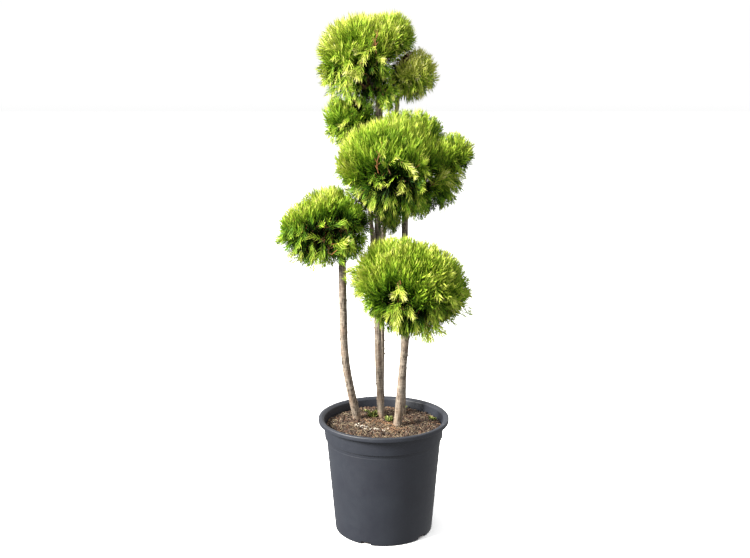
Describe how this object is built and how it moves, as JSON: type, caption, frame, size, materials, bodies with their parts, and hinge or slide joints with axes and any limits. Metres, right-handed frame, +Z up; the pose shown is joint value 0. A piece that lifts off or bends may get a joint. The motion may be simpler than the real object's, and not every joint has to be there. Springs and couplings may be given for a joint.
{
  "type": "potted arborvitae ball topiary",
  "caption": "Evergreen conifer clipped to balls of scale-leaf foliage on slender bare stems, growing from potting soil in a round stepped nursery pot.",
  "frame": {"origin": "centre of the pot's flat underside", "axes": "+Z up, front of the plant towards -Y, as seen by the camera of the picture"},
  "size_m": [0.4048, 0.353, 1.0678],
  "materials": {
    "pot_plastic": "satin anthracite polypropylene",
    "potting_soil": "loose brown peat and bark compost",
    "bark": "thin grey-brown bark with fine rings and knots",
    "foliage": "golden-green scale leaves in flat sprays, lighter at the tips"
  },
  "bodies": {
    "root": {"pot": "pot_plastic", "potting_soil": "potting_soil", "stem_left": "bark", "stem_centre": "bark", "stem_centre_back": "bark", "stem_right": "bark", "stem_right_back": "bark", "bough_upper_left": "bark", "ball_left": "foliage", "ball_right_low": "foliage", "ball_middle": "foliage", "ball_upper_left": "foliage", "ball_top": "foliage", "ball_top_side": "foliage"}
  },
  "joints": []
}
